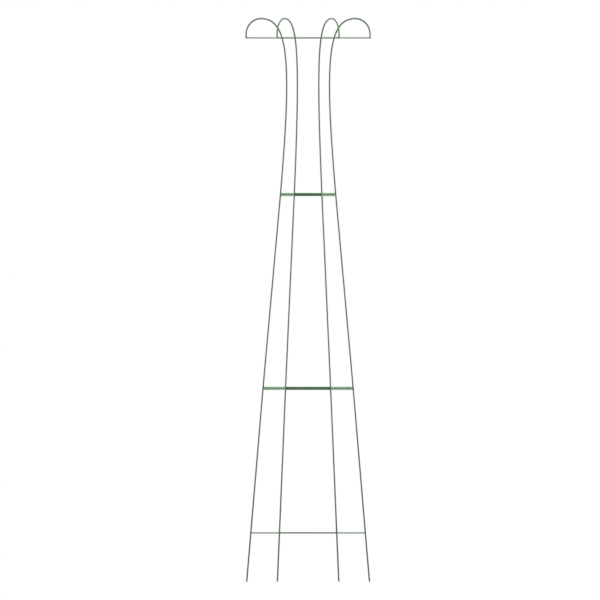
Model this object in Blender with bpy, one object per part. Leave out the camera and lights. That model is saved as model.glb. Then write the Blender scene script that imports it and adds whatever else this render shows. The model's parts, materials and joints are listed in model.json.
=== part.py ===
"""Garden obelisk of coated steel wire: a six-sided climbing frame in three tiers that stack.

Each tier is a ring of upright wires welded round two polygonal rings. Spigots fixed in the feet of
the upper tiers drop into sockets in the wires below. The top tier's arms lean in to a waist, then
curl outwards and down to a wide rim ring.

Metres, +Z up. The origin is on the ground, midway between the feet, and one upright stands at +X.
"""

import math

import bmesh
import bpy
from mathutils import Vector
from mathutils.geometry import interpolate_bezier

# Tiers, with radii measured from the axis to an upright's centre line
UPRIGHT_COUNT = 6
LOWER_TIER_HEIGHT = 0.600
MIDDLE_TIER_HEIGHT = 0.6015
TOP_TIER_HEIGHT = 0.5485
FOOT_RADIUS = 0.1905
LOWER_JOINT_RADIUS = 0.140
UPPER_JOINT_RADIUS = 0.0858

# Wire diameters
UPRIGHT_WIRE = 0.005
JOINT_RING_WIRE = 0.005
PLAIN_RING_WIRE = 0.0045
SPIGOT_WIRE = 0.0025

# Rings
GROUND_RING_HEIGHT = 0.1515
RING_BEND_RADIUS = 0.010

# Plug joints: the sockets stand upright in the leaning wires, so that a tier lifts straight off
SOCKET_DEPTH = 0.0055

# Curled arms, with heights measured down from the crest's centre line
WAIST_RADIUS = 0.0665
WAIST_DROP = 0.2125
CREST_RADIUS = 0.147
RIM_RADIUS = 0.1923
SHOULDER_DROP = 0.0495
RIM_RING_DROP = 0.060

# Lean of an arm above its foot, and how far its curve holds its direction at each knot
ARM_LEAN = 0.083
FOOT_PULL = 0.100
WAIST_PULL_DOWN = 0.100
WAIST_PULL_UP = 0.145
CREST_PULL_IN = 0.062
CREST_PULL_OUT = 0.020
SHOULDER_PULL = 0.032

# Clearance between pieces that touch, and the broken edge of a cut end, which a thin wall limits
GAP = 0.0003
CUT_EDGE = 0.0004
EDGE_SHARE_OF_WALL = 0.6

# Facets
WIRE_SIDES = 12
CORNER_STEPS = 4
CURL_STEPS = (4, 16, 10)
SHARP_ANGLE = math.radians(35)

GREEN_COATING = (0.045, 0.110, 0.042, 1.0)
ZINC_STEEL = (0.52, 0.53, 0.54, 1.0)

SOCKET_WIRE = SPIGOT_WIRE + 2 * GAP
SOCKET_WALL = (UPRIGHT_WIRE - SOCKET_WIRE) / 2
SOCKET_EDGE = min(CUT_EDGE, EDGE_SHARE_OF_WALL * SOCKET_WALL)
LOWER_SLOPE = (FOOT_RADIUS - LOWER_JOINT_RADIUS) / LOWER_TIER_HEIGHT
MIDDLE_SLOPE = (LOWER_JOINT_RADIUS - UPPER_JOINT_RADIUS) / MIDDLE_TIER_HEIGHT
JOINT_RING_HEIGHT = (JOINT_RING_WIRE + GAP) / 2
CREST_HEIGHT = TOP_TIER_HEIGHT - UPRIGHT_WIRE / 2
RIM_RING_HEIGHT = CREST_HEIGHT - RIM_RING_DROP

UP = Vector((0, 0, 1))
UPRIGHT_PLANE = Vector((0, 1, 0))
RING_PLANE = Vector((0, 0, 1))


def clear_scene():
    for item in list(bpy.data.objects):
        bpy.data.objects.remove(item, do_unlink=True)


def make_material(name, colour, metallic, roughness):
    material = bpy.data.materials.new(name)
    material.use_nodes = True
    shader = material.node_tree.nodes["Principled BSDF"]
    shader.inputs["Base Color"].default_value = colour
    shader.inputs["Metallic"].default_value = metallic
    shader.inputs["Roughness"].default_value = roughness
    material.diffuse_color = colour
    return material


def add_tier(name, height, below=None):
    """An empty at a tier's base, on the axis that the tier lifts along."""
    tier = bpy.data.objects.new(name, None)
    tier.location.z = height
    tier.parent = below
    bpy.context.scene.collection.objects.link(tier)
    return tier


def add_piece(name, mesh, material, tier, location=(0, 0, 0), turn=0.0):
    piece = bpy.data.objects.new(name, mesh)
    piece.parent = tier
    piece.location = location
    piece.rotation_euler.z = turn
    if not mesh.materials:
        mesh.materials.append(material)
    bpy.context.scene.collection.objects.link(piece)


def upright_angles():
    return [math.tau * index / UPRIGHT_COUNT for index in range(UPRIGHT_COUNT)]


def at(radius, height):
    """A point of the upright that stands at +X."""
    return Vector((radius, 0, height))


def section(centre, heading, diameter):
    """A round section of wire, square to its heading."""
    return centre, heading.normalized(), diameter / 2


def skin(name, sections, bend_plane, closed=False):
    """The closed mesh over a row of sections whose centres lie in one plane with that normal."""
    bm = bmesh.new()
    loops = []
    for centre, heading, radius in sections:
        across = heading.cross(bend_plane)
        angles = [math.tau * index / WIRE_SIDES for index in range(WIRE_SIDES)]
        rim = [centre + radius * (math.cos(a) * bend_plane + math.sin(a) * across) for a in angles]
        loops.append([bm.verts.new(point) for point in rim])
    followers = loops[1:] + loops[:1] if closed else loops[1:]
    for loop, follower in zip(loops, followers):
        for side in range(WIRE_SIDES):
            after = (side + 1) % WIRE_SIDES
            bm.faces.new((loop[side], loop[after], follower[after], follower[side]))
    if not closed:
        bm.faces.new(loops[0])
        bm.faces.new(loops[-1])
    bmesh.ops.recalc_face_normals(bm, faces=bm.faces)
    mesh = bpy.data.meshes.new(name)
    bm.to_mesh(mesh)
    bm.free()
    mesh.shade_smooth()
    mesh.set_sharp_from_angle(angle=SHARP_ANGLE)
    return mesh


def plain_end(end, into, diameter, edge=CUT_EDGE):
    """A level cut end with its edge broken, from its face into the wire, which runs along into."""
    return [
        section(end, UP, diameter - 2 * edge),
        section(end + edge * into, UP, diameter),
    ]


def socket_end(end, bore, into):
    """A level cut end with a blind socket along bore, from its bottom out and over the face."""
    return [
        section(end + SOCKET_DEPTH * bore, UP, SOCKET_WIRE),
        section(end + SOCKET_EDGE / 2 * bore, UP, SOCKET_WIRE),
        section(end, UP, SOCKET_WIRE + SOCKET_EDGE),
    ] + plain_end(end, into, UPRIGHT_WIRE, SOCKET_EDGE)


def leaning(slope):
    """The way up along a wire that leans in towards the axis, for one metre of height."""
    return Vector((-slope, 0, 1))


def lower_leg_mesh():
    rise = leaning(LOWER_SLOPE)
    foot = at(FOOT_RADIUS, 0)
    head = foot + (LOWER_TIER_HEIGHT - GAP / 2) * rise
    sections = plain_end(foot, rise, UPRIGHT_WIRE)
    sections += reversed(socket_end(head, -UP, -rise))
    return skin("lower_leg", sections, UPRIGHT_PLANE)


def middle_leg_mesh():
    rise = leaning(MIDDLE_SLOPE)
    base = at(LOWER_JOINT_RADIUS, 0)
    foot = base + GAP / 2 * rise
    head = base + (MIDDLE_TIER_HEIGHT - GAP / 2) * rise
    sections = socket_end(foot, UP, rise)
    sections += reversed(socket_end(head, -UP, -rise))
    return skin("middle_leg", sections, UPRIGHT_PLANE)


def curl_points():
    """The arm's centre line: from its foot in to the waist, out over the crest and down."""
    lean = leaning(ARM_LEAN).normalized()
    out = Vector((1, 0, 0))
    foot = at(UPPER_JOINT_RADIUS, GAP / 2)
    waist = at(WAIST_RADIUS, CREST_HEIGHT - WAIST_DROP)
    crest = at(CREST_RADIUS, CREST_HEIGHT)
    shoulder = at(RIM_RADIUS, CREST_HEIGHT - SHOULDER_DROP)
    spans = [
        (foot, foot + FOOT_PULL * lean, waist - WAIST_PULL_DOWN * UP, waist),
        (waist, waist + WAIST_PULL_UP * UP, crest - CREST_PULL_IN * out, crest),
        (crest, crest + CREST_PULL_OUT * out, shoulder + SHOULDER_PULL * UP, shoulder),
    ]
    points = [foot]
    for span, steps in zip(spans, CURL_STEPS):
        points += interpolate_bezier(*span, steps + 1)[1:]
    return points


def curled_arm_mesh():
    tip = at(RIM_RADIUS, RIM_RING_HEIGHT - PLAIN_RING_WIRE / 2)
    points = curl_points()
    sections = socket_end(points[0], UP, leaning(ARM_LEAN))
    for before, point, after in zip(points, points[1:], points[2:] + [tip]):
        heading = (point - before).normalized() + (after - point).normalized()
        sections.append(section(point, heading, UPRIGHT_WIRE))
    for centre, _, radius in reversed(plain_end(tip, UP, UPRIGHT_WIRE)):
        sections.append(section(centre, -UP, 2 * radius))
    return skin("curled_arm", sections, UPRIGHT_PLANE)


def ring_mesh(name, base_radius, slope, height, wire):
    """A polygon of wire inside the uprights, each of its rounded corners against one of them.

    The uprights stand at base_radius at their tier's base, and lean in by slope for their height.
    """
    seat = ((UPRIGHT_WIRE + wire) / 2 + GAP) / math.cos(math.atan(slope))
    bend_centre_radius = base_radius - slope * height - seat - RING_BEND_RADIUS
    half_corner = math.pi / UPRIGHT_COUNT
    sections = []
    for angle in upright_angles():
        bend_centre = Vector((math.cos(angle), math.sin(angle), 0)) * bend_centre_radius
        bend_centre.z = height
        for step in range(CORNER_STEPS + 1):
            turn = angle + half_corner * (2 * step / CORNER_STEPS - 1)
            outward = Vector((math.cos(turn), math.sin(turn), 0))
            point = bend_centre + RING_BEND_RADIUS * outward
            sections.append(section(point, UP.cross(outward), wire))
    return skin(name, sections, RING_PLANE, closed=True)


def spigot_mesh():
    """A steel pin about its middle, half fixed in the wire above and half free in the one below."""
    reach = (SOCKET_DEPTH - GAP) * UP
    sections = plain_end(-reach, UP, SPIGOT_WIRE) + plain_end(reach, -UP, SPIGOT_WIRE)[::-1]
    return skin("spigot", sections, UPRIGHT_PLANE)


def add_uprights(name, mesh, material, tier):
    for number, angle in enumerate(upright_angles(), start=1):
        add_piece(f"{name}_{number}", mesh, material, tier, turn=angle)


def add_spigots(name, mesh, material, tier, radius):
    for number, angle in enumerate(upright_angles(), start=1):
        seat = (radius * math.cos(angle), radius * math.sin(angle), 0)
        add_piece(f"{name}_{number}", mesh, material, tier, location=seat, turn=angle)


def build_lower_tier(tier, coating):
    ground_ring = ring_mesh("ground_ring", FOOT_RADIUS, LOWER_SLOPE, GROUND_RING_HEIGHT,
                            PLAIN_RING_WIRE)
    top_ring = ring_mesh("lower_top_ring", FOOT_RADIUS, LOWER_SLOPE,
                         LOWER_TIER_HEIGHT - JOINT_RING_HEIGHT, JOINT_RING_WIRE)
    add_uprights("lower_leg", lower_leg_mesh(), coating, tier)
    add_piece("ground_ring", ground_ring, coating, tier)
    add_piece("lower_top_ring", top_ring, coating, tier)


def build_middle_tier(tier, coating, pin, steel):
    foot_ring = ring_mesh("middle_foot_ring", LOWER_JOINT_RADIUS, MIDDLE_SLOPE, JOINT_RING_HEIGHT,
                          JOINT_RING_WIRE)
    top_ring = ring_mesh("middle_top_ring", LOWER_JOINT_RADIUS, MIDDLE_SLOPE,
                         MIDDLE_TIER_HEIGHT - JOINT_RING_HEIGHT, JOINT_RING_WIRE)
    add_uprights("middle_leg", middle_leg_mesh(), coating, tier)
    add_piece("middle_foot_ring", foot_ring, coating, tier)
    add_piece("middle_top_ring", top_ring, coating, tier)
    add_spigots("lower_spigot", pin, steel, tier, LOWER_JOINT_RADIUS)


def build_top_tier(tier, coating, pin, steel):
    foot_ring = ring_mesh("top_foot_ring", UPPER_JOINT_RADIUS, ARM_LEAN, JOINT_RING_HEIGHT,
                          JOINT_RING_WIRE)
    rim_ring = ring_mesh("rim_ring", RIM_RADIUS, 0, RIM_RING_HEIGHT, PLAIN_RING_WIRE)
    add_uprights("curled_arm", curled_arm_mesh(), coating, tier)
    add_piece("top_foot_ring", foot_ring, coating, tier)
    add_piece("rim_ring", rim_ring, coating, tier)
    add_spigots("upper_spigot", pin, steel, tier, UPPER_JOINT_RADIUS)


def main():
    clear_scene()
    coating = make_material("green_coating", GREEN_COATING, 0.0, 0.38)
    steel = make_material("zinc_steel", ZINC_STEEL, 1.0, 0.35)
    lower_tier = add_tier("lower_tier", 0)
    middle_tier = add_tier("middle_tier", LOWER_TIER_HEIGHT, lower_tier)
    top_tier = add_tier("top_tier", MIDDLE_TIER_HEIGHT, middle_tier)
    pin = spigot_mesh()
    build_lower_tier(lower_tier, coating)
    build_middle_tier(middle_tier, coating, pin, steel)
    build_top_tier(top_tier, coating, pin, steel)


main()
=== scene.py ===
"""Looks of the garden obelisk: its coated wire, welds and plug pins, and the studio round it.

Metres, +Z up, with the origin on the ground midway between the feet. Uprights are drawn in the XZ
plane, where the one at +X stands, and copied round the axis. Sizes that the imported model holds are
read from it, and the others are fields of the classes below.
"""

import json
import logging
import math
import sys
from abc import ABC, abstractmethod
from collections.abc import Callable, Sequence
from dataclasses import dataclass, field
from enum import Enum
from functools import cache
from itertools import chain
from typing import Any

import bmesh
import bpy
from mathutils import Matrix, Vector
from mathutils.geometry import interpolate_bezier


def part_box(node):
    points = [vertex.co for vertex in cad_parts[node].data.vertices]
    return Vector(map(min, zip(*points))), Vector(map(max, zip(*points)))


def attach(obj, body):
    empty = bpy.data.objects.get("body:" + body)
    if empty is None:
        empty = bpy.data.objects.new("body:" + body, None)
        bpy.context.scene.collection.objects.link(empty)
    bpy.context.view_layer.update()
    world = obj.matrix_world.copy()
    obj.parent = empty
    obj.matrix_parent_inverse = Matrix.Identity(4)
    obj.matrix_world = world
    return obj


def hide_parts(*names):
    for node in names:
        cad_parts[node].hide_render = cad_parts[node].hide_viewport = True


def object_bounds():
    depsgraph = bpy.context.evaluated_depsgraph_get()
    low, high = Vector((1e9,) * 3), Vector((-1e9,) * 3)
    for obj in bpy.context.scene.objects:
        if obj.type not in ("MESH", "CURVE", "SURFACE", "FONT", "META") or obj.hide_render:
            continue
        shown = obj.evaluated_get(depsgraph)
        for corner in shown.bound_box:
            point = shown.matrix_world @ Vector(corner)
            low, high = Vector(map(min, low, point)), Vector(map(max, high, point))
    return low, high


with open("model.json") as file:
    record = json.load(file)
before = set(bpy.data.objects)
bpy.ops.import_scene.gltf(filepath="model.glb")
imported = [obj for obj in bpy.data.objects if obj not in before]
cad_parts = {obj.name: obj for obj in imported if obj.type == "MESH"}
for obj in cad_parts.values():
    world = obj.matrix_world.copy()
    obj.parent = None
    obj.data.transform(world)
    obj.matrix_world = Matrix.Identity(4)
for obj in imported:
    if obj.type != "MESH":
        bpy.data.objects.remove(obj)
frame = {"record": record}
CAD_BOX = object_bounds()

LOG = logging.getLogger("obelisk")

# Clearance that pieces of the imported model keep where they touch
CLEARANCE = 0.0003
# How far apart two points may lie and still be taken as one
SAME_PLACE = 0.00002
UPRIGHT_COUNT = 6
# The turn at an edge under which it is shaded smooth
SMOOTH_UNDER = math.radians(38)
# Point attribute that says how far the coat is rubbed off, from 0 to 1
BARE = "bare"
# The value that a noise lies about
NOISE_MIDDLE = 0.5

UP = Vector((0, 0, 1))
OUT = Vector((1, 0, 0))

Colour = tuple[float, float, float, float]
Limits = tuple[float, float]

WHITE: Colour = (1.0, 1.0, 1.0, 1.0)


class Tier(Enum):
    """The tiers that lift off one another, by the names of their bodies."""

    LOWER = "lower_tier"
    MIDDLE = "middle_tier"
    TOP = "top_tier"


class Slot(Enum):
    """The record's material slots."""

    UPRIGHTS = "leg_coating"
    RINGS = "ring_coating"
    PINS = "spigot_steel"


class WireEnd(Enum):
    """How an end of an upright is made."""

    CUT = "cut off square, its edge rounded under the coat"
    SOCKET = "bored to take a pin"


class Settled(Enum):
    """Which way a ring settles by its share of the slit between two stacked rings."""

    DOWN = -1
    NOWHERE = 0
    UP = 1


class Grain(Enum):
    """How many finer clouds lie on a noise's own."""

    SOFT = 1.0
    PLAIN = 2.0
    CLOUDY = 3.0
    RAGGED = 4.0


class Signal:
    """A socket's value, with arithmetic that adds the Math nodes for it."""

    def __init__(self, bench: "NodeBench", socket: bpy.types.NodeSocket) -> None:
        """Wrap an output socket of a tree."""
        self.bench = bench
        self.socket = socket

    def _math(self, operation: str, first: Any, second: Any) -> "Signal":
        """Add one Math node and return its value."""
        return self.bench.add("ShaderNodeMath", {"operation": operation}, {0: first, 1: second})

    def __add__(self, other: Any) -> "Signal":
        """This value plus another."""
        return self._math("ADD", self, other)

    def __sub__(self, other: Any) -> "Signal":
        """This value less another."""
        return self._math("SUBTRACT", self, other)

    def __rsub__(self, other: Any) -> "Signal":
        """Another value less this one."""
        return self._math("SUBTRACT", other, self)

    def __mul__(self, other: Any) -> "Signal":
        """This value times another."""
        return self._math("MULTIPLY", self, other)

    def larger(self, other: Any) -> "Signal":
        """The larger of this value and another."""
        return self._math("MAXIMUM", self, other)

    __radd__ = __add__
    __rmul__ = __mul__


class NodeBench:
    """A node tree being wired up from nothing."""

    def __init__(self, tree: bpy.types.NodeTree) -> None:
        """Clear the tree."""
        self.tree = tree
        tree.nodes.clear()

    def add(
        self,
        kind: str,
        settings: dict[str, Any] | None = None,
        inputs: dict[str | int, Any] | None = None,
        output: str | int = 0,
    ) -> Signal:
        """Add a node, set it and join its sockets.

        Args:
            kind: The node's type.
            settings: Its properties.
            inputs: Values or signals for its input sockets, by name or number.
            output: The output socket that is handed back.

        Returns:
            The value of that output, or of the node itself where it has none.
        """
        node = self.tree.nodes.new(kind)
        for name, value in (settings or {}).items():
            setattr(node, name, value)
        for key, value in (inputs or {}).items():
            socket = node.inputs[key]
            if isinstance(value, Signal):
                self.tree.links.new(value.socket, socket)
            else:
                socket.default_value = value
        return Signal(self, node.outputs[output] if len(node.outputs) else None)

    def noise(self, place: Signal, size: float, grain: Grain = Grain.PLAIN) -> Signal:
        """A cloudy value from 0 to 1.

        Args:
            place: The coordinates that it follows.
            size: The width of its clouds.
            grain: How fine its detail is.

        Returns:
            The value.
        """
        inputs = {"Vector": place, "Scale": 1 / size, "Detail": grain.value}
        return self.add("ShaderNodeTexNoise", None, inputs)

    def spread(self, value: Signal, limits: Limits) -> Signal:
        """A value's range between two limits, smoothly stretched to 0 to 1 and held there."""
        inputs = {"Value": value, "From Min": limits[0], "From Max": limits[1]}
        return self.add("ShaderNodeMapRange", {"interpolation_type": "SMOOTHSTEP"}, inputs)

    def blend(self, share: Signal, first: Any, second: Any) -> Signal:
        """A colour that goes from the first to the second as the share rises."""
        # A Mix node's colour sockets go by number, as those for numbers have the same names
        inputs = {0: share, 6: first, 7: second}
        return self.add("ShaderNodeMix", {"data_type": "RGBA"}, inputs, output=2)


@dataclass(frozen=True)
class Finish(ABC):
    """A surface finish, made as a material the first time that a piece asks for it."""

    name: str

    def dress(self, piece: bpy.types.Object) -> None:
        """Give a piece this finish all over.

        Args:
            piece: The piece.
        """
        material = bpy.data.materials.get(self.name)
        if material is None:
            material = bpy.data.materials.new(self.name)
            material.use_nodes = True
            self.wire_up(NodeBench(material.node_tree))
        piece.data.materials.clear()
        piece.data.materials.append(material)

    @abstractmethod
    def wire_up(self, bench: NodeBench) -> None:
        """Wire up the material's nodes."""


@dataclass(frozen=True)
class GreenCoat(Finish):
    """Semi-gloss green plastic coat on steel wire, rubbed through to the steel at the plug ends.

    The coat is cloudy between two greens, scuffed in spots, and has a fine peel over broader lumps.
    Limits are the noise values between which a mark comes in.
    """

    body: Colour = (0.062, 0.130, 0.058, 1.0)
    deep: Colour = (0.048, 0.102, 0.045, 1.0)
    cloud_size: float = 0.030
    cloud_limits: Limits = (0.30, 0.70)
    scuff: Colour = (0.107, 0.192, 0.100, 1.0)
    scuff_size: float = 0.006
    scuff_limits: Limits = (0.62, 0.78)
    scuff_strength: float = 0.4
    specular: float = 0.50
    roughness: float = 0.36
    cloud_roughness: float = 0.16
    scuff_roughness: float = 0.22
    peel_size: float = 0.0011
    peel_depth: float = 0.00003
    lump_share: float = 0.5
    steel: Colour = (0.46, 0.46, 0.45, 1.0)
    steel_roughness: float = 0.42
    chip_size: float = 0.0022
    chip_share: float = 0.5
    worn_limits: Limits = (0.70, 0.86)
    worn_step: float = 2.0

    def wire_up(self, bench: NodeBench) -> None:
        """Wire up the coat, its scuffs and the steel under it.

        Args:
            bench: The material's node tree.
        """
        place = bench.add("ShaderNodeTexCoord", output="Object")
        bare = bench.add("ShaderNodeAttribute", {"attribute_name": BARE}, output="Fac")
        cloud = bench.noise(place, self.cloud_size, Grain.CLOUDY)
        chips = bench.noise(place, self.chip_size, Grain.CLOUDY)
        marks = bench.noise(place, self.scuff_size, Grain.RAGGED)
        peel = bench.noise(place, self.peel_size, Grain.SOFT)
        lumps = bench.noise(place, self.scuff_size, Grain.SOFT)

        scuffed = bench.spread(marks, self.scuff_limits) * self.scuff_strength
        worn = bench.spread(bare + chips * self.chip_share, self.worn_limits)
        coat = bench.blend(bench.spread(cloud, self.cloud_limits), self.deep, self.body)
        coat = bench.blend(scuffed, coat, self.scuff)
        clouded = (cloud - NOISE_MIDDLE) * self.cloud_roughness
        gloss = self.roughness + clouded + scuffed * self.scuff_roughness
        height = peel + lumps * self.lump_share

        relief = bench.add("ShaderNodeBump", None, {
            "Strength": 1.0,
            "Distance": self.peel_depth,
            "Height": height - worn * self.worn_step,
        })
        surface = bench.add("ShaderNodeBsdfPrincipled", None, {
            "Base Color": bench.blend(worn, coat, self.steel),
            "Metallic": worn,
            "Roughness": gloss * (1 - worn) + worn * self.steel_roughness,
            "Specular IOR Level": self.specular,
            "Normal": relief,
        })
        bench.add("ShaderNodeOutputMaterial", None, {"Surface": surface})


@dataclass(frozen=True)
class ZincPlate(Finish):
    """Zinc plate on drawn steel pins, with fine streaks along them."""

    bright: Colour = (0.60, 0.61, 0.62, 1.0)
    dull: Colour = (0.44, 0.44, 0.42, 1.0)
    dull_limits: Limits = (0.35, 0.68)
    cloud_size: float = 0.004
    streak_width: float = 0.00025
    streak_stretch: float = 0.04
    streak_depth: float = 0.00001
    roughness: float = 0.30
    cloud_roughness: float = 0.14
    streak_roughness: float = 0.10

    def wire_up(self, bench: NodeBench) -> None:
        """Wire up the plate and its streaks.

        Args:
            bench: The material's node tree.
        """
        place = bench.add("ShaderNodeTexCoord", output="Object")
        along = bench.add("ShaderNodeMapping", None, {
            "Vector": place,
            "Scale": (1.0, 1.0, self.streak_stretch),
        })
        streaks = bench.noise(along, self.streak_width)
        cloud = bench.noise(place, self.cloud_size, Grain.CLOUDY)
        gloss = self.roughness + cloud * self.cloud_roughness + streaks * self.streak_roughness
        relief = bench.add("ShaderNodeBump", None, {
            "Strength": 1.0,
            "Distance": self.streak_depth,
            "Height": streaks,
        })
        surface = bench.add("ShaderNodeBsdfPrincipled", None, {
            "Base Color": bench.blend(
                bench.spread(cloud, self.dull_limits), self.bright, self.dull
            ),
            "Metallic": 1.0,
            "Roughness": gloss,
            "Normal": relief,
        })
        bench.add("ShaderNodeOutputMaterial", None, {"Surface": surface})


@dataclass(frozen=True)
class PaleFloor(Finish):
    """Matt pale floor that keeps the shadow near the feet and fades to the white surround."""

    tone: Colour = (0.57, 0.57, 0.57, 1.0)
    shadow_radius: float = 0.7
    fade_radius: float = 2.2

    def wire_up(self, bench: NodeBench) -> None:
        """Wire up the matt floor and its fade.

        Args:
            bench: The material's node tree.
        """
        place = bench.add("ShaderNodeTexCoord", output="Object")
        reach = bench.add("ShaderNodeVectorMath", {"operation": "LENGTH"}, {0: place}, "Value")
        seen = bench.add("ShaderNodeLightPath", output="Is Camera Ray")
        fade = bench.spread(reach, (self.shadow_radius, self.fade_radius)) * seen
        matt = bench.add("ShaderNodeBsdfDiffuse", None, {"Color": self.tone})
        white = bench.add("ShaderNodeEmission", None, {"Color": WHITE, "Strength": 1.0})
        surface = bench.add("ShaderNodeMixShader", None, {0: fade, 1: matt, 2: white})
        bench.add("ShaderNodeOutputMaterial", None, {"Surface": surface})


WIRE_COAT = GreenCoat("green_coat_wires")
# Painted shade: a darker copy of the wire coat for the ground ring, standing in for the lower light
# that falls on it near the floor
SHADED_GROUND_RING_COAT = GreenCoat(
    "green_coat_ground_ring_painted_shade",
    body=(0.052, 0.108, 0.049, 1.0),
    deep=(0.040, 0.085, 0.038, 1.0),
)
# Painted light: a lighter, greener copy of the wire coat for the stacked joint rings, standing in
# for the front light on their flats
FRONT_LIT_JOINT_RING_COAT = GreenCoat(
    "green_coat_joint_rings_painted_light",
    body=(0.052, 0.153, 0.049, 1.0),
    deep=(0.039, 0.119, 0.037, 1.0),
    cloud_size=0.022,
)
WELD_COAT = GreenCoat(
    "green_coat_welds",
    body=(0.054, 0.134, 0.051, 1.0),
    roughness=0.42,
    cloud_size=0.003,
    peel_depth=0.00006,
    lump_share=1.4,
)
PIN_PLATE = ZincPlate("zinc_plate_pins")


@dataclass(frozen=True)
class NodeBox:
    """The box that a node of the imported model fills."""

    low: Vector
    high: Vector

    @staticmethod
    @cache
    def of(node: str) -> "NodeBox":
        """The box of a named node, measured once."""
        return NodeBox(*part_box(node))

    @property
    def size(self) -> Vector:
        """Its three sides."""
        return self.high - self.low

    @property
    def centre(self) -> Vector:
        """Its middle."""
        return (self.low + self.high) / 2


@dataclass(frozen=True)
class PlugJoint:
    """The joint where one tier's wires plug into those below, read from the pin at +X."""

    radius: float
    height: float
    pin_wire: float
    pin_reach: float

    @classmethod
    def at_pin(cls, node: str) -> "PlugJoint":
        """Read a joint from its pin.

        Args:
            node: The pin's node.

        Returns:
            The joint.
        """
        pin = NodeBox.of(node)
        return cls(pin.centre.x, pin.centre.z, pin.size.y, pin.size.z / 2)

    @property
    def bore(self) -> float:
        """The diameter of the sockets."""
        return self.pin_wire + 2 * CLEARANCE

    @property
    def depth(self) -> float:
        """The depth of the sockets."""
        return self.pin_reach + CLEARANCE

    def end(self, above: bool) -> Vector:
        """The middle of an upright's end face, above or below the joint."""
        return at(self.radius, self.height + (CLEARANCE if above else -CLEARANCE) / 2)


def at(radius: float, height: float) -> Vector:
    """A point in the plane of the upright at +X."""
    return Vector((radius, 0, height))


def round_angles() -> list[float]:
    """The angles at which the uprights stand."""
    return [math.tau * index / UPRIGHT_COUNT for index in range(UPRIGHT_COUNT)]


def blank(name: str, place: Vector, facing: Vector, radius: float, sides: int) -> bpy.types.Object:
    """Lay out a round blank and open it for editing, with its face selected.

    Args:
        name: The piece's name.
        place: The blank's middle.
        facing: The direction that its face is square to.
        radius: Its radius.
        sides: How many sides it has.

    Returns:
        The new piece, in edit mode.
    """
    bpy.ops.object.select_all(action="DESELECT")
    bpy.ops.mesh.primitive_circle_add(
        vertices=sides,
        radius=radius,
        fill_type="NGON",
        location=place,
        rotation=facing.to_track_quat("Z", "Y").to_euler(),
    )
    bpy.ops.object.transform_apply(location=True, rotation=True, scale=True)
    piece = bpy.context.object
    piece.name = piece.data.name = name
    bpy.ops.object.mode_set(mode="EDIT")
    return piece


def close_up(smooth_angle: float = SMOOTH_UNDER) -> None:
    """Turn the edited piece's faces outwards, leave edit mode and shade it smooth.

    Args:
        smooth_angle: Edges that turn less than this are shaded smooth.
    """
    bpy.ops.mesh.select_all(action="SELECT")
    bpy.ops.mesh.normals_make_consistent(inside=False)
    bpy.ops.object.mode_set(mode="OBJECT")
    bpy.ops.object.shade_smooth_by_angle(angle=smooth_angle)


def pick(piece: bpy.types.Object, part: str, wanted: Callable[[Any], bool]) -> None:
    """Select some of the edited piece's faces or edges, and nothing else.

    Args:
        piece: The piece, in edit mode.
        part: Which of its parts are tested, "faces" or "edges".
        wanted: The test.
    """
    bpy.ops.mesh.select_all(action="DESELECT")
    mesh = bmesh.from_edit_mesh(piece.data)
    for item in getattr(mesh, part):
        if wanted(item):
            item.select_set(True)
    bmesh.update_edit_mesh(piece.data)


def pick_end(piece: bpy.types.Object, centre: Vector) -> None:
    """Select the end face whose middle is at a point."""
    pick(piece, "faces", lambda face: (face.calc_center_median() - centre).length < SAME_PLACE)


def pick_rim(piece: bpy.types.Object, centre: Vector, radius: float) -> None:
    """Select the level round edge of a radius about a point.

    Args:
        piece: The piece, in edit mode.
        centre: The edge's middle.
        radius: The edge's radius.
    """

    def on_rim(vert: bmesh.types.BMVert) -> bool:
        """Whether a corner lies on the edge."""
        reach = vert.co - centre
        return abs(reach.z) < SAME_PLACE and abs(reach.length - radius) < SAME_PLACE

    pick(piece, "edges", lambda edge: all(on_rim(vert) for vert in edge.verts))


def turned_copy(piece: bpy.types.Object, name: str, angle: float) -> bpy.types.Object:
    """Copy a piece with its own mesh and turn the copy round the obelisk's axis.

    Args:
        piece: The piece to copy.
        name: The copy's name.
        angle: How far round it goes.

    Returns:
        The copy, with its place in its mesh.
    """
    bpy.ops.object.select_all(action="DESELECT")
    piece.select_set(True)
    bpy.context.view_layer.objects.active = piece
    bpy.ops.object.duplicate(linked=False)
    copy = bpy.context.object
    copy.name = copy.data.name = name
    copy.rotation_euler.z = angle
    bpy.ops.object.transform_apply(location=True, rotation=True, scale=True)
    return copy


def set_round(first: bpy.types.Object, name: str) -> list[bpy.types.Object]:
    """Copy the piece at +X to each of the other uprights' angles.

    Args:
        first: The piece at +X.
        name: What the copies' names start with.

    Returns:
        The piece and its copies, in order round the axis.
    """
    pieces = [first]
    for number, angle in enumerate(round_angles()[1:], start=2):
        pieces.append(turned_copy(first, f"{name}_{number}", angle))
    return pieces


def joined(pieces: Sequence[bpy.types.Object]) -> bpy.types.Object:
    """Join pieces into the first of them.

    Args:
        pieces: The pieces.

    Returns:
        The first piece, which now holds them all.
    """
    bpy.ops.object.select_all(action="DESELECT")
    for piece in pieces:
        piece.select_set(True)
    bpy.context.view_layer.objects.active = pieces[0]
    bpy.ops.object.join()
    return pieces[0]


@dataclass(frozen=True)
class Stop:
    """A point of an upright's centre line, with the wire's heading there from +Z towards +X."""

    place: Vector
    heading: float


def stops_through(points: Sequence[Vector], first: float, last: float) -> list[Stop]:
    """Find the wire's heading at each point of its centre line.

    Args:
        points: The centre line.
        first: The heading of its first end face.
        last: The heading of its last end face.

    Returns:
        The points with their headings.
    """
    stops = [Stop(points[0], first)]
    for before, point, after in zip(points, points[1:], points[2:]):
        along = (point - before).normalized() + (after - point).normalized()
        stops.append(Stop(point, math.atan2(along.x, along.z)))
    stops.append(Stop(points[-1], last))
    return stops


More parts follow.
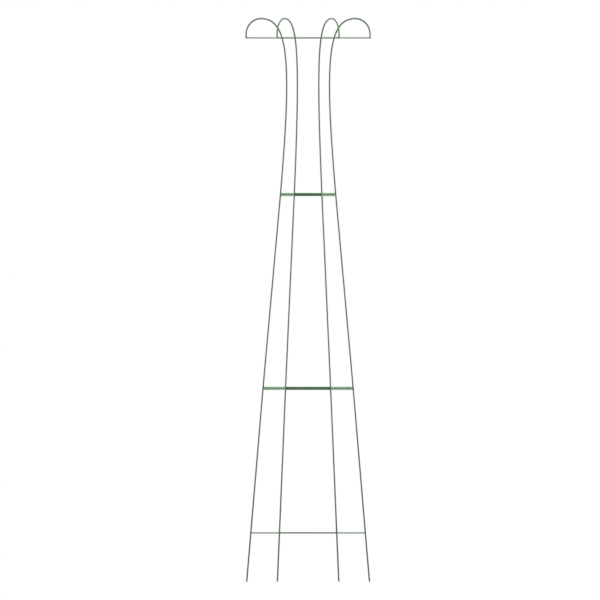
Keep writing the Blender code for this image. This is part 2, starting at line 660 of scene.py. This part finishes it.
@dataclass(frozen=True)
class Uprights(ABC):
    """The uprights of a tier: one is drawn out at +X, and its copies stand round the axis."""

    node: str
    name: str
    tier: Tier
    foot_end: WireEnd
    head_end: WireEnd
    sides: int = 24
    cut_edge: float = 0.0006
    socket_edge: float = 0.0004
    mouth_edge: float = 0.00014
    edge_steps: int = 3
    mouth_steps: int = 2
    rubbed_length: float = 0.003
    rubbed_share: float = 0.5

    @abstractmethod
    def centre_line(self) -> list[Vector]:
        """The points of the upright at +X, from its foot on."""

    @abstractmethod
    def sockets(self) -> list[tuple[Vector, PlugJoint]]:
        """The middle of each end face that has a socket, with its joint."""

    @property
    def wire(self) -> float:
        """The wire's diameter, which is the width of the upright at +X."""
        return NodeBox.of(f"{self.node}_1").size.y

    def rub(self, end: Vector, beyond: Vector) -> Vector:
        """The point of the wire up to which handling rubs an end.

        Args:
            end: The middle of the end's face.
            beyond: A point further along the wire.

        Returns:
            The point, on the line between the two.
        """
        return end + self.rubbed_length * (beyond - end).normalized()

    def build(self) -> list[bpy.types.Object]:
        """Draw the wire out, make its ends, copy it round and dress the copies.

        Returns:
            The uprights.
        """
        points = self.centre_line()
        hanging = points[-1].z < points[-2].z
        stops = stops_through(points, 0.0, math.pi if hanging else 0.0)
        first = self.draw(stops)
        self.make_end(first, self.foot_end, points[0], UP)
        self.make_end(first, self.head_end, points[-1], UP if hanging else -UP)
        close_up()
        self.mark_bare(first)
        WIRE_COAT.dress(first)
        pieces = set_round(first, self.name)
        for number, piece in enumerate(pieces, start=1):
            place_piece(piece, self.tier, Slot.UPRIGHTS, f"{self.node}_{number}")
        return pieces

    def draw(self, stops: Sequence[Stop]) -> bpy.types.Object:
        """Extrude a round blank along the centre line, turned square to it at each stop.

        Args:
            stops: The centre line.

        Returns:
            The wire, still in edit mode.
        """
        piece = blank(f"{self.name}_1", stops[0].place, UP, self.wire / 2, self.sides)
        for here, there in zip(stops, stops[1:]):
            step = {"value": there.place - here.place}
            bpy.ops.mesh.extrude_region_move(TRANSFORM_OT_translate=step)
            bpy.ops.transform.rotate(
                value=here.heading - there.heading,
                orient_axis="Y",
                center_override=there.place,
            )
        return piece

    def make_end(
        self, piece: bpy.types.Object, kind: WireEnd, centre: Vector, inward: Vector
    ) -> None:
        """Round an end's edge and bore its socket.

        Args:
            piece: The wire, in edit mode.
            kind: How the end is made.
            centre: The middle of its face.
            inward: The way into the wire.
        """
        if kind is WireEnd.CUT:
            pick_rim(piece, centre, self.wire / 2)
            bpy.ops.mesh.bevel(offset=self.cut_edge, segments=self.edge_steps, affect="EDGES")
            return
        joint = next(joint for place, joint in self.sockets() if place == centre)
        wall = (self.wire - joint.bore) / 2
        pick_end(piece, centre)
        # An inset is measured square to the outline's flats, and the wall at its corners
        bpy.ops.mesh.inset(thickness=wall * math.cos(math.pi / self.sides), depth=0)
        bore = {"value": joint.depth * inward}
        bpy.ops.mesh.extrude_region_move(TRANSFORM_OT_translate=bore)
        pick_rim(piece, centre, self.wire / 2)
        bpy.ops.mesh.bevel(offset=self.socket_edge, segments=self.edge_steps, affect="EDGES")
        pick_rim(piece, centre, joint.bore / 2)
        bpy.ops.mesh.bevel(offset=self.mouth_edge, segments=self.mouth_steps, affect="EDGES")

    def mark_bare(self, piece: bpy.types.Object) -> None:
        """Mark where pins and hands have rubbed the coat, as an attribute of the points.

        Args:
            piece: The finished wire at +X.
        """
        shares = []
        for vertex in piece.data.vertices:
            share = 0.0
            for centre, joint in self.sockets():
                reach = vertex.co - centre
                depth = abs(reach.z)
                in_bore = reach.xy.length < joint.bore / 2 + SAME_PLACE
                if in_bore and depth < joint.depth + SAME_PLACE:
                    share = 1.0
                elif reach.xy.length < self.wire:
                    share = max(share, self.rubbed_share * (1 - depth / self.rubbed_length))
            shares.append(share)
        layer = piece.data.attributes.new(BARE, "FLOAT", "POINT")
        layer.data.foreach_set("value", shares)


@dataclass(frozen=True)
class LowerLegs(Uprights):
    """Straight legs that lean in from the ground, their heads cut level and bored upright."""

    joint: PlugJoint = field(default_factory=lambda: PlugJoint.at_pin("lower_spigot_1"))

    def centre_line(self) -> list[Vector]:
        """Run from the ground up to the head's face.

        Returns:
            The points.
        """
        foot = Vector(frame["record"]["mounts"][0]["pos_m"])
        head = self.joint.end(above=False)
        return [foot, self.rub(head, foot), head]

    def sockets(self) -> list[tuple[Vector, PlugJoint]]:
        """The head's socket."""
        return [(self.joint.end(above=False), self.joint)]


@dataclass(frozen=True)
class MiddleLegs(Uprights):
    """Straight legs that lean in between the two plug joints, cut level and bored at each."""

    low: PlugJoint = field(default_factory=lambda: PlugJoint.at_pin("lower_spigot_1"))
    high: PlugJoint = field(default_factory=lambda: PlugJoint.at_pin("upper_spigot_1"))

    def centre_line(self) -> list[Vector]:
        """Run from the foot's face up to the head's.

        Returns:
            The points.
        """
        foot = self.low.end(above=True)
        head = self.high.end(above=False)
        return [foot, self.rub(foot, head), self.rub(head, foot), head]

    def sockets(self) -> list[tuple[Vector, PlugJoint]]:
        """The sockets at both ends."""
        return [(self.low.end(above=True), self.low), (self.high.end(above=False), self.high)]


@dataclass(frozen=True)
class CurledArms(Uprights):
    """Arms that lean in to a waist, curl outwards over a crest and hang down at the rim.

    Drops are measured down from the crest's centre line. A pull says how far the curve holds its
    direction at a knot.
    """

    joint: PlugJoint = field(default_factory=lambda: PlugJoint.at_pin("upper_spigot_1"))
    crest_radius: float = 0.147
    waist_drop: float = 0.2125
    shoulder_drop: float = 0.0495
    lean: float = 0.083
    foot_pull: float = 0.100
    waist_pull_down: float = 0.100
    waist_pull_up: float = 0.145
    crest_pull_in: float = 0.062
    crest_pull_out: float = 0.020
    shoulder_pull: float = 0.032
    rise_steps: int = 20
    sweep_steps: int = 54
    curl_steps: int = 26

    def centre_line(self) -> list[Vector]:
        """Run from the foot's face up, over the crest and down to the tip.

        Returns:
            The points.
        """
        arm = NodeBox.of(f"{self.node}_1")
        crest_height = arm.high.z - self.wire / 2
        foot = self.joint.end(above=True)
        waist = at(arm.low.x + self.wire / 2, crest_height - self.waist_drop)
        crest = at(self.crest_radius, crest_height)
        shoulder = at(arm.high.x - self.wire / 2, crest_height - self.shoulder_drop)
        rim = NodeBox.of("rim_ring")
        tip = at(shoulder.x, rim.low.z)
        leaning = (UP - self.lean * OUT).normalized()
        spans = (
            (foot, foot + self.foot_pull * leaning, waist - self.waist_pull_down * UP, waist,
             self.rise_steps),
            (waist, waist + self.waist_pull_up * UP, crest - self.crest_pull_in * OUT, crest,
             self.sweep_steps),
            (crest, crest + self.crest_pull_out * OUT, shoulder + self.shoulder_pull * UP, shoulder,
             self.curl_steps),
        )
        curve = []
        for *knots, steps in spans:
            curve += interpolate_bezier(*knots, steps + 1)[1:]
        return [foot, self.rub(foot, curve[0]), *curve, tip]

    def sockets(self) -> list[tuple[Vector, PlugJoint]]:
        """The foot's socket."""
        return [(self.joint.end(above=True), self.joint)]


@dataclass(frozen=True)
class WeldBead:
    """The fused neck between a ring and an upright, flared into both under the coat.

    Each section is its place between the wires, from the ring's side out, with its half width and
    its half height. The last one ends in the upright's wall, short of the sockets.
    """

    sections: tuple[tuple[float, float, float], ...] = (
        (-0.00135, 0.00310, 0.00110),
        (-0.00080, 0.00275, 0.00145),
        (-0.00040, 0.00235, 0.00180),
        (0.0, 0.00205, 0.00205),
        (0.00035, 0.00180, 0.00220),
        (0.00085, 0.00155, 0.00238),
    )
    sides: int = 12
    subdivisions: int = 1
    unevenness_width: float = 0.0011
    unevenness_depth: float = 0.00026

    def build(self, name: str, place: Vector) -> bpy.types.Object:
        """Draw the neck out from the ring to the upright at +X.

        Args:
            name: The piece's name.
            place: The middle of the gap between the two wires.

        Returns:
            The bead, smoothed.
        """
        start, width, height = self.sections[0]
        piece = blank(name, place + start * OUT, OUT, width, self.sides)
        bpy.ops.transform.resize(value=(1, 1, height / width), center_override=place)
        for before, after in zip(self.sections, self.sections[1:]):
            step = {"value": (after[0] - before[0]) * OUT}
            bpy.ops.mesh.extrude_region_move(TRANSFORM_OT_translate=step)
            growth = (1, after[1] / before[1], after[2] / before[2])
            bpy.ops.transform.resize(value=growth, center_override=place)
        close_up(smooth_angle=math.pi)
        smoother = piece.modifiers.new("smooth", "SUBSURF")
        smoother.levels = smoother.render_levels = self.subdivisions
        bpy.ops.object.modifier_apply(modifier=smoother.name)
        return piece

    def roughen(self, piece: bpy.types.Object) -> None:
        """Push the points in and out by a cloud that follows their places, so no two beads match.

        Args:
            piece: The beads of a ring.
        """
        cloud = bpy.data.textures.new("bead_unevenness", "CLOUDS")
        cloud.noise_scale = self.unevenness_width
        pusher = piece.modifiers.new("unevenness", "DISPLACE")
        pusher.texture = cloud
        pusher.strength = self.unevenness_depth
        bpy.context.view_layer.objects.active = piece
        bpy.ops.object.modifier_apply(modifier=pusher.name)


@dataclass(frozen=True)
class HexRing:
    """A six-sided ring of bent wire inside the uprights, with its closing seam and its welds."""

    node: str
    name: str
    tier: Tier
    settled: Settled = Settled.NOWHERE
    # Rings take the lighter, greener copy of the coat by default, which is painted light
    coat: GreenCoat = FRONT_LIT_JOINT_RING_COAT
    settling: float = 0.00014
    bend_radius: float = 0.010
    sides: int = 24
    corner_steps: int = 14
    seam_side: int = 1
    seam_shift: float = 0.006
    seam_rise: float = 1.045
    seam_half_width: float = 0.0007
    seam_shoulder: float = 0.0005
    bead: WeldBead = WeldBead()

    @property
    def box(self) -> NodeBox:
        """The ring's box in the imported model."""
        return NodeBox.of(self.node)

    @property
    def wire(self) -> float:
        """The wire's diameter, which is the ring's height."""
        return self.box.size.z

    @property
    def height(self) -> float:
        """The height of the centre line, once stacked rings lie on each other."""
        return self.box.centre.z + self.settling * self.settled.value

    @property
    def corner_radius(self) -> float:
        """From the axis to the centre line at a corner."""
        return self.box.high.x - self.wire / 2

    def bend_centre(self, angle: float) -> Vector:
        """The middle of a corner's bend."""
        radius = self.corner_radius - self.bend_radius
        return Vector((radius * math.cos(angle), radius * math.sin(angle), self.height))

    def build(self) -> list[bpy.types.Object]:
        """Bend the ring, weld it to its uprights and dress both.

        Returns:
            The ring and its welds.
        """
        ring = self.bend_wire()
        self.coat.dress(ring)
        place_piece(ring, self.tier, Slot.RINGS, self.node)
        welds = self.weld()
        WELD_COAT.dress(welds)
        place_piece(welds, self.tier, Slot.RINGS)
        return [ring, welds]

    def bend_wire(self) -> bpy.types.Object:
        """Spin the wire round each corner and extrude it along each side.

        Returns:
            The closed ring.
        """
        half_corner = math.pi / UPRIGHT_COUNT
        away = Vector((math.cos(half_corner), -math.sin(half_corner), 0))
        start = self.bend_centre(0) + self.bend_radius * away
        piece = blank(self.name, start, UP.cross(away), self.wire / 2, self.sides)
        bpy.ops.mesh.delete(type="ONLY_FACE")
        bpy.ops.mesh.select_all(action="SELECT")
        for side, angle in enumerate(round_angles()):
            centre = self.bend_centre(angle)
            bpy.ops.mesh.spin(
                steps=self.corner_steps, angle=-2 * half_corner, center=centre, axis=UP
            )
            run = self.bend_centre(angle + 2 * half_corner) - centre
            outward = Vector((math.cos(angle + half_corner), math.sin(angle + half_corner), 0))
            corner_end = centre + self.bend_radius * outward
            self.draw_side(corner_end, run, seam=side == self.seam_side)
        bpy.ops.mesh.select_all(action="SELECT")
        bpy.ops.mesh.remove_doubles(threshold=SAME_PLACE)
        close_up()
        return piece

    def draw_side(self, start: Vector, run: Vector, seam: bool) -> None:
        """Extrude one straight side, with the raised seam where the ring's wire was closed.

        Args:
            start: Where the side starts.
            run: Its length and direction.
            seam: Whether the seam is on this side.
        """
        along = run.normalized()
        place = start
        if seam:
            middle = start + run / 2 + self.seam_shift * along
            shoulder = self.seam_half_width + self.seam_shoulder
            rises = (
                (-shoulder, 1.0),
                (-self.seam_half_width, self.seam_rise),
                (self.seam_half_width, 1.0),
                (shoulder, 1 / self.seam_rise),
            )
            for offset, growth in rises:
                there = middle + offset * along
                step = {"value": there - place}
                bpy.ops.mesh.extrude_region_move(TRANSFORM_OT_translate=step)
                bpy.ops.transform.resize(value=(growth,) * 3, center_override=there)
                place = there
        step = {"value": start + run - place}
        bpy.ops.mesh.extrude_region_move(TRANSFORM_OT_translate=step)

    def weld(self) -> bpy.types.Object:
        """Set a weld bead at each corner.

        Returns:
            The six beads as one piece.
        """
        gap_middle = self.box.high.x + CLEARANCE / 2
        name = f"{self.name}_welds"
        first = self.bead.build(name, at(gap_middle, self.height))
        welds = joined(set_round(first, name))
        self.bead.roughen(welds)
        return welds


@dataclass(frozen=True)
class PlugPins:
    """The zinc-plated pins of a joint, rounded at both ends to find their sockets."""

    node: str
    name: str
    tier: Tier
    sides: int = 24
    lead_in: float = 0.0007
    end_edge: float = 0.0004
    edge_steps: int = 3

    def build(self) -> list[bpy.types.Object]:
        """Draw a pin out, round its ends, copy it round and dress the copies.

        Returns:
            The pins.
        """
        joint = PlugJoint.at_pin(f"{self.node}_1")
        middle = at(joint.radius, joint.height)
        reach = joint.pin_reach * UP
        first = blank(f"{self.name}_1", middle - reach, UP, joint.pin_wire / 2, self.sides)
        bpy.ops.mesh.extrude_region_move(TRANSFORM_OT_translate={"value": 2 * reach})
        pick_rim(first, middle - reach, joint.pin_wire / 2)
        bpy.ops.mesh.bevel(offset=self.lead_in, segments=self.edge_steps, affect="EDGES")
        pick_rim(first, middle + reach, joint.pin_wire / 2)
        bpy.ops.mesh.bevel(offset=self.end_edge, segments=self.edge_steps, affect="EDGES")
        close_up()
        PIN_PLATE.dress(first)
        pieces = set_round(first, self.name)
        for number, piece in enumerate(pieces, start=1):
            place_piece(piece, self.tier, Slot.PINS, f"{self.node}_{number}")
        return pieces


def place_piece(piece: bpy.types.Object, tier: Tier, slot: Slot, *nodes: str) -> None:
    """Fix a piece to its tier and hide what it stands for.

    Args:
        piece: The piece.
        tier: The tier that carries it.
        slot: The piece's material slot, which is not used.
        nodes: The nodes that it replaces.
    """
    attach(piece, tier.value)
    if nodes:
        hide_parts(*nodes)


@dataclass(frozen=True)
class TierAssembly:
    """One tier: its uprights, the rings welded into them and the pins in their feet."""

    tier: Tier
    uprights: Uprights
    rings: tuple[HexRing, ...]
    pins: PlugPins | None = None

    def build(self) -> list[bpy.types.Object]:
        """Build every piece of the tier.

        Returns:
            The pieces.
        """
        parts = (self.uprights, *self.rings) + ((self.pins,) if self.pins else ())
        return list(chain.from_iterable(part.build() for part in parts))


def lower_tier() -> TierAssembly:
    """Lay out the tier that stands on the ground.

    Returns:
        The tier.
    """
    tier = Tier.LOWER
    legs = LowerLegs("lower_leg", "lower_upright", tier, WireEnd.CUT, WireEnd.SOCKET)
    rings = (
        # The ground ring takes the darker copy of the coat, which is its painted shade
        HexRing("ground_ring", "ground_hoop", tier, coat=SHADED_GROUND_RING_COAT),
        HexRing("lower_top_ring", "lower_head_hoop", tier, settled=Settled.UP),
    )
    return TierAssembly(tier, legs, rings)


def middle_tier() -> TierAssembly:
    """Lay out the tier between the two plug joints.

    Returns:
        The tier.
    """
    tier = Tier.MIDDLE
    legs = MiddleLegs("middle_leg", "middle_upright", tier, WireEnd.SOCKET, WireEnd.SOCKET)
    rings = (
        HexRing("middle_foot_ring", "middle_foot_hoop", tier, settled=Settled.DOWN),
        HexRing("middle_top_ring", "middle_head_hoop", tier, settled=Settled.UP),
    )
    return TierAssembly(tier, legs, rings, PlugPins("lower_spigot", "lower_pin", tier))


def top_tier() -> TierAssembly:
    """Lay out the tier of curled arms.

    Returns:
        The tier.
    """
    tier = Tier.TOP
    arms = CurledArms("curled_arm", "curled_upright", tier, WireEnd.SOCKET, WireEnd.CUT)
    rings = (
        HexRing("top_foot_ring", "top_foot_hoop", tier, settled=Settled.DOWN),
        HexRing("rim_ring", "rim_hoop", tier, coat=WIRE_COAT),
    )
    return TierAssembly(tier, arms, rings, PlugPins("upper_spigot", "upper_pin", tier))


@dataclass(frozen=True)
class Softbox:
    """A soft lamp, aimed at the middle of the obelisk."""

    name: str
    place: tuple[float, float, float]
    width: float
    height: float
    power: float

    def set_up(self, target: Vector) -> None:
        """Hang the lamp.

        Args:
            target: The point that it faces.
        """
        light = bpy.data.lights.new(self.name, "AREA")
        light.shape = "RECTANGLE"
        light.size = self.width
        light.size_y = self.height
        light.energy = self.power
        lamp = bpy.data.objects.new(self.name, light)
        lamp.location = self.place
        facing = target - Vector(self.place)
        lamp.rotation_euler = facing.to_track_quat("-Z", "Y").to_euler()
        lamp.visible_camera = False
        bpy.context.scene.collection.objects.link(lamp)


@dataclass(frozen=True)
class Studio:
    """The floor, the lamps, the white surround and the camera."""

    floor_size: float = 40.0
    ambient: float = 0.66
    lamps: tuple[Softbox, ...] = (
        Softbox("left_lamp", place=(-2.6, 0.6, 1.2), width=1.4, height=2.2, power=84.0),
        Softbox("right_lamp", place=(2.6, 0.6, 1.2), width=1.4, height=2.2, power=84.0),
        Softbox("front_lamp", place=(0.0, -3.0, 1.3), width=2.0, height=2.0, power=14.0),
        Softbox("top_lamp", place=(0.0, -0.6, 3.6), width=1.6, height=1.6, power=40.0),
    )
    view_width: float = 1.8619
    view_centre_x: float = -0.0251
    view_centre_z: float = 0.8741
    camera_distance: float = 4.0

    def build(self) -> None:
        """Set everything up round the obelisk."""
        self.lay_floor()
        self.surround()
        target = Vector((0, 0, (CAD_BOX[0][2] + CAD_BOX[1][2]) / 2))
        for lamp in self.lamps:
            lamp.set_up(target)
        self.aim_camera()
        bpy.context.scene.view_settings.view_transform = "Standard"

    def lay_floor(self) -> None:
        """Lay the pale floor that the feet stand on."""
        bpy.ops.object.select_all(action="DESELECT")
        bpy.ops.mesh.primitive_plane_add(size=self.floor_size, location=(0, 0, 0))
        floor = bpy.context.object
        floor.name = floor.data.name = "floor"
        PaleFloor("pale_floor").dress(floor)

    def surround(self) -> None:
        """Make the surround white to the eye and to gloss, and plain soft light to the rest."""
        world = bpy.data.worlds.new("surround")
        world.use_nodes = True
        bpy.context.scene.world = world
        bench = NodeBench(world.node_tree)
        to_eye, to_gloss, to_glass = (
            bench.add("ShaderNodeLightPath", output=ray)
            for ray in ("Is Camera Ray", "Is Glossy Ray", "Is Transmission Ray")
        )
        seen = to_eye.larger(to_gloss).larger(to_glass)
        strength = self.ambient + seen * (1 - self.ambient)
        light = bench.add("ShaderNodeBackground", None, {"Color": WHITE, "Strength": strength})
        bench.add("ShaderNodeOutputWorld", None, {"Surface": light})

    def aim_camera(self) -> None:
        """Face the obelisk squarely, level and without perspective."""
        data = bpy.data.cameras.new("camera")
        data.type = "ORTHO"
        data.ortho_scale = self.view_width
        camera = bpy.data.objects.new("camera", data)
        camera.location = (self.view_centre_x, -self.camera_distance, self.view_centre_z)
        camera.rotation_euler = (math.pi / 2, 0, 0)
        bpy.context.scene.collection.objects.link(camera)
        bpy.context.scene.camera = camera


def main() -> None:
    """Build the studio and the tiers, and report each piece."""
    logging.basicConfig(level=logging.INFO, format="%(message)s", stream=sys.stdout)
    Studio().build()
    for make_tier in (lower_tier, middle_tier, top_tier):
        assembly = make_tier()
        for piece in assembly.build():
            count = len(piece.data.polygons)
            LOG.info("%s rides on %s with %d faces", piece.name, assembly.tier.value, count)


if __name__ == "__main__":
    main()
